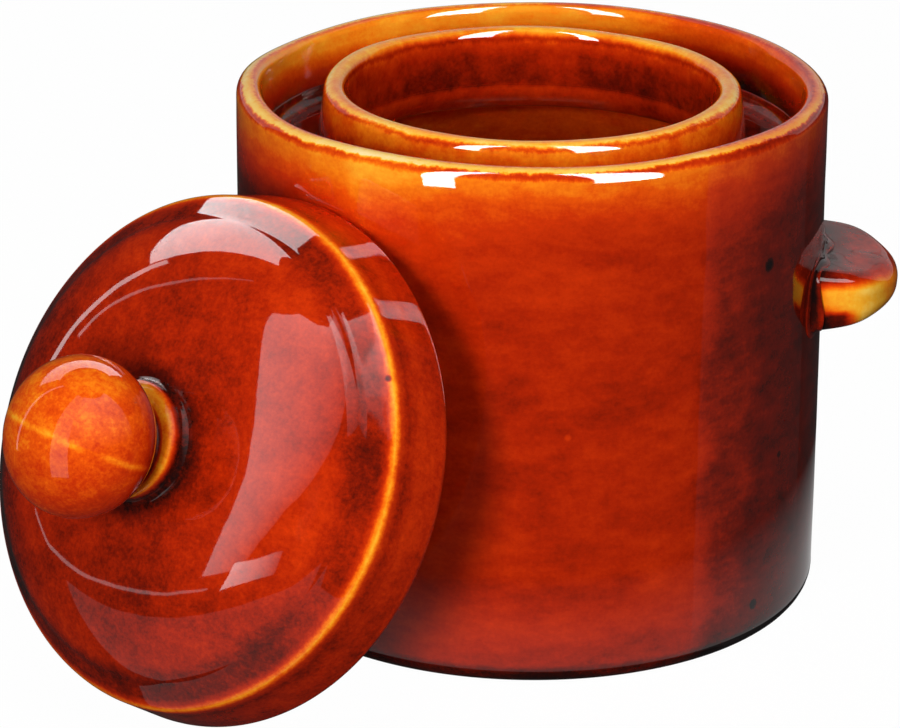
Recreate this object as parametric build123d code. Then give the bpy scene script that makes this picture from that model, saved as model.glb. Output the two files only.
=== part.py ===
from build123d import *
from math import acos, cos, radians, sin, sqrt, tan
import os

os.makedirs("parts", exist_ok=True)

# A glazed stoneware pickle jar with a water seal, in millimetres and degrees.
# The origin is the middle of the crock's foot, on the table. +Z is up and the
# two handles lie along X. The lid is off: it leans on the crock's front left,
# with its edge on the table and its outside facing away from the crock.

# Crock, a straight wall on a flat base
crock_radius = 100.0
crock_height = 179.5
crock_wall = 8.0
crock_floor_height = 10.0
crock_floor_round = 12.0
base_edge_round = 8.0
rim_outer_round_share = 0.5625
rim_inner_round_share = 0.375
foot_ring_width = 21.0
foot_recess_depth = 2.0

# Water channel and neck, one ring inside the crock's rim
channel_width = 18.6
channel_depth = 24.0
channel_floor_thickness = 7.0
channel_neck_round = 3.0
channel_wall_round = 4.5
channel_wall_land = 0.5
neck_wall = 7.0
neck_taper = 3.0
neck_drop = 0.5
neck_lip_outer_share = 0.543
neck_lip_inner_share = 0.429
neck_under_round = 9.0

# Handles, two solid lugs that taper outward
handle_half_width = 32.3
handle_front_share = 1.26
handle_corner_share = 0.526
handle_reach = 26.1
handle_drop = 57.2
handle_root_thickness = 21.5
handle_top_fall_share = 0.134
handle_bottom_rise_share = 0.157
handle_edge_round_share = 0.446
handle_bearings = {"handle_right": 0, "handle_left": 180}

# Lid, measured from the plane of its skirt's open edge
skirt_side_gap = 5.0
skirt_wall = 6.4
skirt_edge_round_share = 0.46875
skirt_draw_angle = 9.5
skirt_hollow_height = 15.5
lid_edge_height = 22.9
lid_edge_round = 5.0
ledge_width = 11.5
ledge_rise = 7.2
ledge_end_angle = 58.0
shoulder_width = 26.5
shoulder_rise = 13.1
shoulder_end_angle = 13.0
shoulder_shares = ((0.21, 0.42), (0.51, 0.77))
crown_rise = 4.8
crown_thickness = 7.0

# Knob, luted to the flat middle of the lid a little off its centre
collar_radius = 19.0
collar_height = 6.5
collar_round = 2.5
pad_margin = 3.0
stem_radius = 13.0
knob_radius = 25.8
knob_half_height = 21.4
knob_rise = 27.4
knob_offset = 2.3

# Lid's place as it leans on the crock
lid_lean_angle = 24.13
lid_facing_bearing = -130.1
lid_rim_drop = 15.0
lid_side_step = 10.1
lid_wall_gap = 0.35

# Weight stones, a disc in two halves on the crock's floor
stone_mouth_gap = 3.4
stone_thickness = 20.0
stone_gap = 3.0
stone_round = 4.0
stone_seat_gap = 0.3
stone_sides = {"weight_stone_right": 1, "weight_stone_left": -1}

# How far a cutting shape runs past what it cuts
overrun = 1.0

# Heights and radii that follow from the sizes above
crock_inner_radius = crock_radius - crock_wall
channel_floor_height = crock_height - channel_depth
channel_under_height = channel_floor_height - channel_floor_thickness
neck_foot_radius = crock_inner_radius - channel_width
neck_lip_radius = neck_foot_radius - neck_taper
neck_inner_radius = neck_lip_radius - neck_wall
stone_radius = neck_inner_radius - stone_mouth_gap
skirt_radius = crock_inner_radius - skirt_side_gap
skirt_edge_round = skirt_wall * skirt_edge_round_share
skirt_ring_radius = skirt_radius - skirt_edge_round
crease_height = lid_edge_height + ledge_rise
crest_height = crease_height + shoulder_rise
pad_height = crest_height + crown_rise
pad_radius = collar_radius + pad_margin


def turned(corners):
    """Turns an outline about Z. Each corner is its radius, height and rounding."""
    points = [(radius, height) for radius, height, _ in corners]
    rounds = [rounding for _, _, rounding in corners]
    with BuildPart() as solid:
        with BuildSketch(Plane.XZ):
            with BuildLine():
                FilletPolyline(*points, radius=rounds, close=True)
            make_face()
        revolve(axis=Axis.Z)
    return solid.part


def crock_body():
    """The pot: a flat base with a recessed foot, and a straight wall up to a rounded rim."""
    foot_recess_radius = crock_radius - foot_ring_width
    return turned([
        (0, foot_recess_depth, 0),
        (foot_recess_radius, foot_recess_depth, 0),
        (foot_recess_radius + foot_recess_depth, 0, 0),
        (crock_radius, 0, base_edge_round),
        (crock_radius, crock_height, crock_wall * rim_outer_round_share),
        (crock_inner_radius, crock_height, crock_wall * rim_inner_round_share),
        (crock_inner_radius, crock_floor_height, crock_floor_round),
        (0, crock_floor_height, 0),
    ])


def water_channel_neck():
    """The ring inside the rim: the channel's floor, and the neck that stands on its inner edge."""
    wall_foot_radius = crock_inner_radius - channel_wall_land
    wall_foot_height = channel_floor_height + channel_wall_round + channel_wall_land
    neck_top_height = crock_height - neck_drop
    return turned([
        (neck_inner_radius, channel_under_height, neck_under_round),
        (crock_inner_radius, channel_under_height, 0),
        (crock_inner_radius, wall_foot_height, 0),
        (wall_foot_radius, wall_foot_height, 0),
        (wall_foot_radius, channel_floor_height, channel_wall_round),
        (neck_foot_radius, channel_floor_height, channel_neck_round),
        (neck_lip_radius, neck_top_height, neck_wall * neck_lip_outer_share),
        (neck_inner_radius, neck_top_height, neck_wall * neck_lip_inner_share),
    ])


def handle(bearing):
    """A lug: a round-cornered plan between a falling top and a rising bottom, cut to the crock's wall."""
    inside = crock_inner_radius
    tip = crock_radius + handle_reach
    front_radius = handle_half_width * handle_front_share
    top_height = crock_height - handle_drop
    bottom_height = top_height - handle_root_thickness
    tip_thickness = handle_root_thickness - handle_reach * (handle_top_fall_share + handle_bottom_rise_share)
    bottom = [(radius, bottom_height + (radius - crock_radius) * handle_bottom_rise_share)
              for radius in (inside, tip + overrun)]
    top = [(radius, top_height - (radius - crock_radius) * handle_top_fall_share)
           for radius in (tip + overrun, inside)]
    with BuildPart() as lug:
        with BuildSketch() as plan:
            with Locations((tip - front_radius, 0)):
                Circle(front_radius)
            with Locations((inside, 0)):
                Rectangle(
                    tip,
                    2 * handle_half_width,
                    align=(Align.MIN, Align.CENTER),
                    mode=Mode.INTERSECT,
                )
            fillet(plan.vertices().group_by(Axis.X)[-1], radius=handle_half_width * handle_corner_share)
        extrude(amount=crock_height)
        with BuildSketch(Plane.XZ):
            with BuildLine():
                Polyline(*bottom, *top, close=True)
            make_face()
        extrude(amount=handle_half_width + overrun, both=True, mode=Mode.INTERSECT)
        flat_faces = lug.faces().filter_by(GeomType.PLANE).sort_by(Axis.Z)
        rim_edges = flat_faces[0].outer_wire().edges() + flat_faces[-1].outer_wire().edges()
        root_edges = lug.edges().group_by(Axis.X)[0]
        fillet(rim_edges - root_edges, radius=tip_thickness * handle_edge_round_share)
        Cylinder(
            crock_radius, crock_height, align=(Align.CENTER, Align.CENTER, Align.MIN), mode=Mode.SUBTRACT
        )
    return Rot(0, 0, bearing) * lug.part


def inward_rise(angle):
    """A unit direction towards the axis that rises at an angle above level."""
    return (-cos(radians(angle)), sin(radians(angle)))


def lid_cover():
    """The lid's shell: a skirt, a ledge up to a crease, a full shoulder and a shallow crown.

    The skirt leans in by its draw angle, d. The outer corner of its edge lies round * tan(45 + d/2)
    outside the middle of its rounding, so that the rounded edge reaches just to the skirt's radius.
    """
    hollow_radius = skirt_radius - skirt_wall
    skirt_draw = tan(radians(skirt_draw_angle))
    foot_radius = skirt_ring_radius + skirt_edge_round * tan(radians(45 + skirt_draw_angle / 2))
    hollow_top = (hollow_radius - skirt_hollow_height * skirt_draw, skirt_hollow_height)
    crease = (skirt_radius - ledge_width, crease_height)
    crest = (crease[0] - shoulder_width, crest_height)
    pad_edge = (pad_radius, pad_height)
    shoulder = [
        (crease[0] - shoulder_width * inward_share, crease_height + shoulder_rise * upward_share)
        for inward_share, upward_share in shoulder_shares
    ]
    crown = (pad_edge, crest, shoulder[-1], crease)
    crown_under = [(radius, height - crown_thickness) for radius, height in crown]
    under_middle = (0, pad_height - crown_thickness)
    with BuildPart() as lid:
        with BuildSketch(Plane.XZ):
            with BuildLine():
                FilletPolyline(
                    hollow_top,
                    (hollow_radius, 0),
                    (foot_radius, 0),
                    (foot_radius - lid_edge_height * skirt_draw, lid_edge_height),
                    crease,
                    radius=[skirt_edge_round, skirt_edge_round, lid_edge_round],
                )
                Spline(
                    crease,
                    *shoulder,
                    crest,
                    tangents=[inward_rise(ledge_end_angle), inward_rise(shoulder_end_angle)],
                )
                Polyline(crest, pad_edge, (0, pad_height), under_middle)
                Spline(under_middle, *crown_under, hollow_top, tangents=[(1, 0), (skirt_draw, -1)])
            make_face()
        revolve(axis=Axis.Z)
    return lid_place() * lid.part


def lid_knob():
    """The knob: a flat collar, a short stem and an oblate ball that sits a little off centre."""
    collar_top = pad_height + collar_height
    centre_height = pad_height + knob_rise
    collar = turned([
        (0, pad_height, 0),
        (collar_radius, pad_height, 0),
        (collar_radius, collar_top, collar_round),
        (0, collar_top, 0),
    ])
    stem = turned([
        (0, pad_height, 0),
        (stem_radius, pad_height, 0),
        (stem_radius, centre_height, 0),
        (0, centre_height, 0),
    ])
    ball = Pos(0, 0, centre_height) * scale(Sphere(1), by=(knob_radius, knob_radius, knob_half_height))
    off_centre = Pos(0, -knob_offset, 0)
    return lid_place() * (collar + off_centre * stem + off_centre * ball)


def lid_place():
    """The leaning lid's place: its lowest point on the table, its upper edge just off the wall.

    The edge's rounding is a ring of its own. Its lowest point sets the centre's height, and the
    point of it that lies straight in front of the crock's axis sets how far out the centre is.
    A lid too tall for the wall leans further, until its upper edge is below the crock's rim.
    """
    least_lean = radians(lid_lean_angle)
    upright_share = (crock_height - lid_rim_drop) / (2 * skirt_ring_radius)
    lean = acos(min(cos(least_lean), upright_share))
    bearing = radians(lid_facing_bearing)
    height = skirt_ring_radius * cos(lean) + skirt_edge_round * (1 - sin(lean))
    upper_reach = sqrt(skirt_ring_radius ** 2 - lid_side_step ** 2) * sin(lean)
    outward = crock_radius + lid_wall_gap + skirt_edge_round * (1 - cos(lean)) + upper_reach
    level = Vector(cos(bearing), sin(bearing), 0)
    sideways = Vector(-sin(bearing), cos(bearing), 0)
    centre = level * outward - sideways * lid_side_step + Vector(0, 0, height)
    axis = level * cos(lean) + Vector(0, 0, sin(lean))
    return Plane(origin=centre, x_dir=sideways, z_dir=axis).location


def weight_stone(side):
    """One half-moon stone, with all its edges rounded."""
    with BuildPart() as stone:
        with BuildSketch(Plane.XY.offset(crock_floor_height + stone_seat_gap)):
            Circle(stone_radius)
            with Locations((stone_gap / 2, 0)):
                Rectangle(
                    2 * stone_radius,
                    2 * stone_radius,
                    align=(Align.MAX, Align.CENTER),
                    mode=Mode.SUBTRACT,
                )
        extrude(amount=stone_thickness)
        fillet(stone.edges(), radius=stone_round)
    return Rot(0, 0, 90 - 90 * side) * stone.part


nodes = {
    "crock_body": crock_body(),
    "water_channel_neck": water_channel_neck(),
    "lid_cover": lid_cover(),
    "lid_knob": lid_knob(),
}
for name, bearing in handle_bearings.items():
    nodes[name] = handle(bearing)
for name, side in stone_sides.items():
    nodes[name] = weight_stone(side)
for name, shape in nodes.items():
    export_step(shape, f"parts/{name}.step")
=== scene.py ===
# %% [markdown]
# # A pickle jar with a water seal
#
# The real jar is stoneware: a straight crock with a channel of water round its neck, two lugs to lift it
# by, and a domed lid that is shown off the jar, leaning on its wall. A runny amber glaze covers all of it.
# Where the glaze is thin, on edges, it is yellow; where it is thick it goes from orange to red to nearly
# black. This lesson builds those surfaces from formulas and gives them that glaze.
#
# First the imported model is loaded. It is the frame: every piece that is made here has to lie where its
# solid lies, so the solid's box is printed and kept.

import bpy
import numpy as np
from mathutils import Matrix, Vector


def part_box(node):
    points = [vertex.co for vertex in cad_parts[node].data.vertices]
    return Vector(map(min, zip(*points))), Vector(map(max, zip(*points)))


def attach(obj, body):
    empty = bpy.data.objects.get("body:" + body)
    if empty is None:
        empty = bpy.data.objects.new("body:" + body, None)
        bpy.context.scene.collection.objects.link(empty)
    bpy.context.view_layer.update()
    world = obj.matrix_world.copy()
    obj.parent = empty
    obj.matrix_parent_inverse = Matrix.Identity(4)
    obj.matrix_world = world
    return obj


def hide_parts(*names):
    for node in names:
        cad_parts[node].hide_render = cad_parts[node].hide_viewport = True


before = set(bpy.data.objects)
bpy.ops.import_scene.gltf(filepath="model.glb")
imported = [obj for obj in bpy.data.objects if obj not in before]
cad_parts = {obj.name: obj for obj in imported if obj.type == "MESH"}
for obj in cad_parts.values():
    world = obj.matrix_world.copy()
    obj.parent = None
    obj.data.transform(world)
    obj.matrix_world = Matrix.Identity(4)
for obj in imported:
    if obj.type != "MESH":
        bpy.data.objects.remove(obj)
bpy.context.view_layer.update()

# %% [markdown]
# ## The camera
#
# The photograph was taken from in front and a little above, with a long lens. The camera is placed by its
# distance, its height and three angles, which were found by matching the crock's outline. A lens is given
# to Blender in millimetres for a sensor 36 mm wide, so a focal length in pixels is scaled by that.

# %% Camera
picture_width = 900
camera_distance = 1.3602
camera_height = 0.58817
camera_yaw = -0.0200
camera_pitch = 0.3597
camera_roll = 0.0065
focal_pixels = 4191.92
sensor_width = 36.0

forward = Vector((
    np.sin(camera_yaw) * np.cos(camera_pitch),
    np.cos(camera_yaw) * np.cos(camera_pitch),
    -np.sin(camera_pitch),
))
level_right = forward.cross(Vector((0, 0, 1))).normalized()
level_up = level_right.cross(forward)
camera_right = level_right * np.cos(camera_roll) + level_up * np.sin(camera_roll)
camera_up = level_up * np.cos(camera_roll) - level_right * np.sin(camera_roll)

camera_data = bpy.data.cameras.new("camera")
camera_data.sensor_width = sensor_width
camera_data.lens = focal_pixels / picture_width * sensor_width
camera_data.clip_end = 20
camera = bpy.data.objects.new("camera", camera_data)
bpy.context.scene.collection.objects.link(camera)
turn = Matrix((camera_right, camera_up, -forward)).transposed()
camera.matrix_world = Matrix.Translation((0, -camera_distance, camera_height)) @ turn.to_4x4()
bpy.context.scene.camera = camera
bpy.context.scene.view_settings.view_transform = "Standard"
print("lens", round(camera_data.lens, 1), "mm")

# %% [markdown]
# ## Outlines
#
# A potter shapes a pot by the outline of its wall, and so do we. An outline is a few corners, each with a
# radius from the axis, a height and a rounding. The function below turns the corners into points that are
# close together: straight runs are divided evenly, and each rounded corner becomes an arc.


# %% From corners to an outline
def outline_of(corners, spacing, arc_points=9, closed=False):
    """Points along an outline.

    At a corner the outline turns between the direction back to the last corner and the direction on to
    the next. With a the half angle between them, an arc of radius q touches both at q / tan(a) from the
    corner, and its centre lies q / sin(a) from the corner on the bisector. The arc's points are spread
    evenly over the angle that it turns through.
    """
    places = np.array([corner[:2] for corner in corners], float)
    rounds = [corner[2] for corner in corners]
    bends = []
    for index, (place, rounding) in enumerate(zip(places, rounds)):
        if rounding == 0:
            bends.append(place[None])
            continue
        back = places[index - 1] - place
        ahead = places[(index + 1) % len(places)] - place
        back, ahead = back / np.linalg.norm(back), ahead / np.linalg.norm(ahead)
        half = np.arccos(np.clip(back @ ahead, -1, 1)) / 2
        bisector = (back + ahead) / np.linalg.norm(back + ahead)
        centre = place + bisector * rounding / np.sin(half)
        start = (place + back * rounding / np.tan(half) - centre) / rounding
        end = (place + ahead * rounding / np.tan(half) - centre) / rounding
        sweep = np.pi - 2 * half
        share = np.linspace(0, 1, arc_points)[:, None]
        arc = (np.sin((1 - share) * sweep) * start + np.sin(share * sweep) * end) / np.sin(sweep)
        bends.append(centre + arc * rounding)
    if closed:
        bends.append(bends[0][:1])
    pieces = [bends[0]]
    for before, after in zip(bends[:-1], bends[1:]):
        gap = np.linalg.norm(after[0] - before[-1])
        steps = max(int(np.ceil(gap / spacing)), 1)
        share = np.linspace(0, 1, steps + 1)[1:-1, None]
        pieces += [before[-1] + (after[0] - before[-1]) * share, after]
    points = np.concatenate(pieces)
    return points[:-1] if closed else points


def length_along(outline):
    """How far each point lies along the outline, from its first point."""
    return np.concatenate([[0], np.cumsum(np.linalg.norm(np.diff(outline, axis=0), axis=1))])


def curve_through(points, start_way, end_way, count):
    """A cubic curve through a few points, smooth in slope and bend, that leaves and ends as it is told.

    The slope at each inner point is found by asking that the bend is the same on both sides of it, which
    is one row of a small system of equations. Between two points the curve is Hermite's cubic.
    """
    points = np.array(points, float)
    ways = np.array([start_way, end_way], float)
    ways /= np.linalg.norm(ways, axis=1)[:, None]
    knots = length_along(points)
    gaps = np.diff(knots)
    rises = np.diff(points, axis=0) / gaps[:, None]
    system = np.eye(len(points))
    wanted = np.zeros_like(points)
    wanted[0], wanted[-1] = ways
    for row in range(1, len(points) - 1):
        before, after = gaps[row - 1], gaps[row]
        system[row, row - 1:row + 2] = after, 2 * (before + after), before
        wanted[row] = 3 * (after * rises[row - 1] + before * rises[row])
    slopes = np.linalg.solve(system, wanted)
    place = np.linspace(0, knots[-1], count)
    span = np.clip(np.searchsorted(knots, place, side="right") - 1, 0, len(gaps) - 1)
    width = gaps[span][:, None]
    u = ((place - knots[span]) / gaps[span])[:, None]
    return (
        (2 * u ** 3 - 3 * u ** 2 + 1) * points[span]
        + (u ** 3 - 2 * u ** 2 + u) * width * slopes[span]
        + (3 * u ** 2 - 2 * u ** 3) * points[span + 1]
        + (u ** 3 - u ** 2) * width * slopes[span + 1]
    )


# %% [markdown]
# ## A hand-made surface
#
# Nothing thrown on a wheel is quite true. The wall swells and dips by a few tenths of a millimetre, and a
# glossy glaze shows that as reflections with wavy edges. A smooth random field gives the swells: it is a
# sum of plane waves, each with its own direction and phase, so it has no seam where the pot closes.


# %% A smooth random field
wave_count = 28


def swells(points, size, seed, height=1.0):
    """A smooth value for each point, about -height to height, that changes over roughly `size` metres.

    It is the sum of cosines of (direction . point) / size + phase, divided by the root of half their
    number, so that its spread doesn't depend on how many there are.
    """
    dice = np.random.default_rng(seed)
    ways = dice.normal(size=(wave_count, 3))
    ways *= (dice.uniform(0.6, 1.5, wave_count) * 2 * np.pi / size / np.linalg.norm(ways, axis=1))[:, None]
    phases = dice.uniform(0, 2 * np.pi, wave_count)
    return np.cos(points @ ways.T + phases).sum(-1) / np.sqrt(wave_count / 2) * height


def ease(value, start, width):
    """0 up to `start`, 1 from `start + width` on, and (value - start) / width between them."""
    return np.clip((value - start) / width, 0, 1)


def spread_values(outline, marks):
    """A value for each point of an outline, from marks along it: (radius, height, value).

    Each mark sits at the outline's point nearest to it, and the value runs straight between marks.
    """
    marks = np.array(marks, float)
    gaps = np.linalg.norm(outline[None] - marks[:, None, :2], axis=-1)
    where = length_along(outline)[gaps.argmin(1)]
    return np.interp(length_along(outline), where, marks[:, 2])


def distance_from(outline, place):
    """How far along the outline each point lies from the one nearest to a place, ahead of it positive."""
    along = length_along(outline)
    return along - along[np.linalg.norm(outline - np.array(place), axis=1).argmin()]


# %% [markdown]
# ## From arrays to a mesh
#
# A grid of points has one row for each step along the outline and one column for each step round the
# axis. Every square of the grid is one face, and where a row shrinks to a point on the axis the squares
# become a fan of triangles. The numbers go into the mesh as whole arrays. Values that the glaze needs,
# such as how thick it is, are stored on the points as attributes.


# %% Grid to mesh
def grid_faces(rows, columns, wrap_rows=False, wrap_columns=True):
    """Corner numbers of every square of a grid. Where it wraps, the last row or column meets the first."""
    row = columns * np.arange(rows if wrap_rows else rows - 1)[:, None]
    column = np.arange(columns if wrap_columns else columns - 1)[None]
    after = (row + columns) % (rows * columns)
    beside = (column + 1) % columns
    squares = (row + column, row + beside, after + beside, after + column)
    return np.stack(np.broadcast_arrays(*squares), -1).reshape(-1, 4)


def fan(hub, starts, ends):
    """Corner numbers of the triangles that join one hub point to pairs of neighbours."""
    return np.stack(np.broadcast_arrays(hub, starts, ends), -1)


def mesh_object(name, points, squares, triangles=None, values=None):
    """A smooth mesh from points (n, 3), squares (m, 4) and triangles (k, 3), with named point values."""
    if triangles is None:
        triangles = np.zeros((0, 3), int)
    mesh = bpy.data.meshes.new(name)
    corners = np.concatenate([squares.ravel(), triangles.ravel()]).astype(np.int32)
    starts = np.concatenate([
        np.arange(len(squares)) * 4,
        squares.size + np.arange(len(triangles)) * 3,
    ]).astype(np.int32)
    mesh.vertices.add(len(points))
    mesh.vertices.foreach_set("co", points.astype(np.float32).ravel())
    mesh.loops.add(len(corners))
    mesh.loops.foreach_set("vertex_index", corners)
    mesh.polygons.add(len(starts))
    mesh.polygons.foreach_set("loop_start", starts)
    mesh.polygons.foreach_set("use_smooth", np.ones(len(starts), bool))
    mesh.update(calc_edges=True)
    mesh.validate()
    for title, value in (values or {}).items():
        kind, field = ("FLOAT_VECTOR", "vector") if value.ndim == 2 else ("FLOAT", "value")
        attribute = mesh.attributes.new(title, kind, "POINT")
        attribute.data.foreach_set(field, value.astype(np.float32).ravel())
    piece = bpy.data.objects.new(name, mesh)
    bpy.context.scene.collection.objects.link(piece)
    print(name, len(points), "points", squares.shape[0] * 2 + len(triangles), "triangles")
    return piece


def turned_piece(name, outline, columns, glaze, place=None, shape=None, ring=False, coat=None):
    """A surface of revolution: at angle t, a point of the outline lies at (r cos t, r sin t, z).

    `glaze` holds values along the outline. `shape` may move the points in the piece's own frame, `coat`
    adds to the glaze's depth by place, and `place` is the frame's matrix. A ring closes on itself; any
    other outline starts and ends on the axis.
    """
    radius, height = outline.T
    angle = np.arange(columns) * 2 * np.pi / columns
    grid = np.stack([
        radius[:, None] * np.cos(angle),
        radius[:, None] * np.sin(angle),
        np.broadcast_to(height[:, None], (len(height), columns)),
    ], -1)
    along = np.gradient(outline, axis=0)
    if ring:
        along = (np.roll(outline, -1, axis=0) - np.roll(outline, 1, axis=0)) / 2
    along /= np.linalg.norm(along, axis=1)[:, None]
    normal = np.stack([
        along[:, 1, None] * np.cos(angle),
        along[:, 1, None] * np.sin(angle),
        np.broadcast_to(-along[:, 0, None], (len(height), columns)),
    ], -1)
    if shape is not None:
        grid = shape(grid, normal)
    values = {
        title: np.broadcast_to(value[:, None], grid.shape[:2]).copy()
        for title, value in glaze.items()
    }
    if coat is not None:
        values["depth"] += coat(grid)
    if ring:
        points = grid.reshape(-1, 3)
        squares, triangles = grid_faces(len(outline), columns, wrap_rows=True), None
        values = {title: value.ravel() for title, value in values.items()}
    else:
        rows = len(outline) - 2
        points = np.concatenate([grid[1:-1].reshape(-1, 3), grid[:1, 0], grid[-1:, 0]])
        squares = grid_faces(rows, columns)
        column = np.arange(columns)
        beside = (column + 1) % columns
        first, last = rows * columns, rows * columns + 1
        last_row = first - columns
        low = fan(first, beside, column)
        high = fan(last, column + last_row, beside + last_row)
        triangles = np.concatenate([low, high])
        values = {
            title: np.concatenate([value[1:-1].ravel(), value[:1, 0], value[-1:, 0]])
            for title, value in values.items()
        }
    values["own"] = points
    if place is not None:
        points = points @ place[:3, :3].T + place[:3, 3]
    return mesh_object(name, points, squares, triangles, values)


# %% [markdown]
# ## Sizes
#
# The crock's radius and height come from the solid's box. Walls, roundings and the like repeat the real
# ones, in metres. The distance from an edge is given to the glaze in millimetres, up to 30.

# %% Sizes of the crock and its neck
mm = 0.001
far_from_edge = 30.0
crock_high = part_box("crock_body")[1]
crock_radius, crock_height = crock_high.x, crock_high.z
inner_radius = crock_radius - 8 * mm
floor_height = 10 * mm
foot_radius = crock_radius - 21 * mm
foot_depth = 2 * mm

neck_low, neck_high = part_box("water_channel_neck")
channel_under = neck_low.z
neck_top = neck_high.z
channel_floor = channel_under + 7 * mm
neck_foot_radius = inner_radius - 18.6 * mm
neck_lip_radius = neck_foot_radius - 3 * mm
neck_inner_radius = neck_lip_radius - 7 * mm
print("crock", round(2 * crock_radius, 4), "m across,", round(crock_height, 4), "m high")

# %% [markdown]
# ## The crock
#
# The outline starts under the foot, runs out and up the wall, over the rim and down inside to the floor.
# With the outside always on its right, every face points outwards. The glaze marks say how deep the
# glaze's colour is: 0 is bare and cream, 0.2 yellow, 0.4 orange, 0.7 the red-orange of the wall, and 1 is
# pooled and nearly black. Near the foot the marks also paint shade, and a little light from the table.

# %% Crock
rim_middle = (crock_radius - 1.3 * mm, crock_height - 1.3 * mm)
crock_outline = outline_of([
    (0, foot_depth, 0),
    (foot_radius, foot_depth, 0),
    (foot_radius + foot_depth, 0, 0),
    (crock_radius, 0, 8 * mm),
    (crock_radius, crock_height, 4.5 * mm),
    (inner_radius, crock_height, 3 * mm),
    (inner_radius, floor_height, 12 * mm),
    (0, floor_height, 0),
], spacing=3.4 * mm)
crock_depth = spread_values(crock_outline, [
    (0, foot_depth, 0.9),
    # Under and just above the foot the wall goes nearly black: painted contact shade.
    (crock_radius - 8 * mm, 0, 1.0),
    (crock_radius, 4 * mm, 0.92),
    (crock_radius, 8 * mm, 0.74),
    # A little lighter here than higher up: painted light from the table.
    (crock_radius, 20 * mm, 0.68),
    (crock_radius, 60 * mm, 0.71),
    (crock_radius, 120 * mm, 0.70),
    (crock_radius, 150 * mm, 0.66),
    (crock_radius, 162 * mm, 0.60),
    (crock_radius, 172 * mm, 0.50),
    (crock_radius - 1.3 * mm, crock_height - 1.3 * mm, 0.48),
    (crock_radius - 5 * mm, crock_height, 0.56),
    (inner_radius + 0.9 * mm, crock_height - 0.9 * mm, 0.34),
    (inner_radius, crock_height - 6 * mm, 0.35),
    (inner_radius, crock_height - 14 * mm, 0.60),
    (inner_radius, crock_height - 22 * mm, 0.90),
    (inner_radius, crock_height - 40 * mm, 0.52),
    (inner_radius, floor_height + 12 * mm, 0.60),
    (0, floor_height, 0.8),
])


def thrown_wall(grid, normal):
    """Moves each point along its normal by two sizes of swell, and lifts the rim here and there."""
    slow = swells(grid * np.array([1, 1, 0.6]), 80 * mm, seed=3, height=0.12 * mm)
    rings = swells(grid * np.array([0.15, 0.15, 1]), 24 * mm, seed=5, height=0.03 * mm)
    above_foot = ease(grid[..., 2], 0, 6 * mm)
    near_rim = ease(grid[..., 2], crock_height - 12 * mm, 12 * mm)
    moved = grid + normal * ((slow + rings) * above_foot)[..., None]
    moved[..., 2] += swells(grid * np.array([1, 1, 0]), 110 * mm, seed=8, height=0.35 * mm) * near_rim
    return moved


def second_dip(grid):
    """More depth on both sides, past a wavy border, where the crock was dipped in the glaze again; on the
    sides away from the lamps the same depth also paints shade.

    The glaze is thinner on the left shoulder, and the colour is darker on the right inside the channel.
    """
    x, y, z = np.moveaxis(grid, -1, 0)
    side = np.abs(x) + swells(grid, 24 * mm, seed=45, height=1.6 * mm)
    # A second dip of glaze, which also paints shade on the sides.
    coats = ((55 * mm, 7 * mm, 0.10), (70 * mm, 6 * mm, 0.05))
    added = sum(deeper * ease(side, start, width) for start, width, deeper in coats)
    outside = ease(np.hypot(x, y), inner_radius + 2 * mm, 1 * mm)
    left_shoulder = ease(z, 150 * mm, 15 * mm) * ease(-x, 25 * mm, 30 * mm)
    right_channel = ease(z, channel_under, 9 * mm) * ease(x, 35 * mm, 25 * mm)
    return (added - 0.17 * left_shoulder) * outside + 0.16 * right_channel * (1 - outside)


crock = turned_piece(
    "crock",
    crock_outline,
    360,
    {"depth": crock_depth, "edge": -distance_from(crock_outline, rim_middle) / mm},
    shape=thrown_wall,
    coat=second_dip,
)
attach(crock, "crock")
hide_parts("crock_body")

# %% [markdown]
# ## The neck and the water channel
#
# The neck is thrown apart, as a ring with a floor, and luted into the crock before it is fired. The lid's
# skirt stands in the channel between the neck and the rim, and water there seals the jar.

# %% Neck
neck_outline = outline_of([
    (neck_inner_radius, channel_under, 9 * mm),
    (inner_radius, channel_under, 0),
    (inner_radius, channel_floor + 5 * mm, 0),
    (inner_radius - 0.5 * mm, channel_floor + 5 * mm, 0),
    (inner_radius - 0.5 * mm, channel_floor, 4.5 * mm),
    (neck_foot_radius, channel_floor, 3 * mm),
    (neck_lip_radius, neck_top, 3.8 * mm),
    (neck_inner_radius, neck_top, 3 * mm),
], spacing=2.2 * mm, closed=True)
neck_lip = (neck_lip_radius - 1.1 * mm, neck_top - 1.1 * mm)
neck_depth = spread_values(neck_outline, [
    (neck_inner_radius, channel_under + 9 * mm, 0.66),
    (neck_inner_radius + 9 * mm, channel_under, 0.7),
    (inner_radius, channel_under, 0.8),
    (inner_radius - 4 * mm, channel_floor, 0.84),
    (neck_foot_radius + 3 * mm, channel_floor, 0.92),
    (neck_foot_radius - 0.6 * mm, channel_floor + 6 * mm, 0.76),
    (neck_lip_radius + 1.4 * mm, neck_top - 12 * mm, 0.56),
    (neck_lip_radius + 0.4 * mm, neck_top - 4 * mm, 0.37),
    (neck_lip_radius - 1.1 * mm, neck_top - 1.1 * mm, 0.30),
    (neck_lip_radius - 3.6 * mm, neck_top, 0.42),
    (neck_inner_radius + 0.9 * mm, neck_top - 0.9 * mm, 0.30),
    (neck_inner_radius, neck_top - 4 * mm, 0.52),
    (neck_inner_radius, neck_top - 9 * mm, 0.72),
    (neck_inner_radius, neck_top - 18 * mm, 0.80),
])


def thrown_neck(grid, normal):
    """Swells along the normal, and a lip that isn't quite level."""
    slow = swells(grid, 60 * mm, seed=13, height=0.12 * mm)
    lip = ease(grid[..., 2], channel_floor, neck_top - channel_floor)
    moved = grid + normal * (slow * lip)[..., None]
    moved[..., 2] += swells(grid * np.array([1, 1, 0]), 90 * mm, seed=17, height=0.3 * mm) * lip
    return moved


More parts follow.
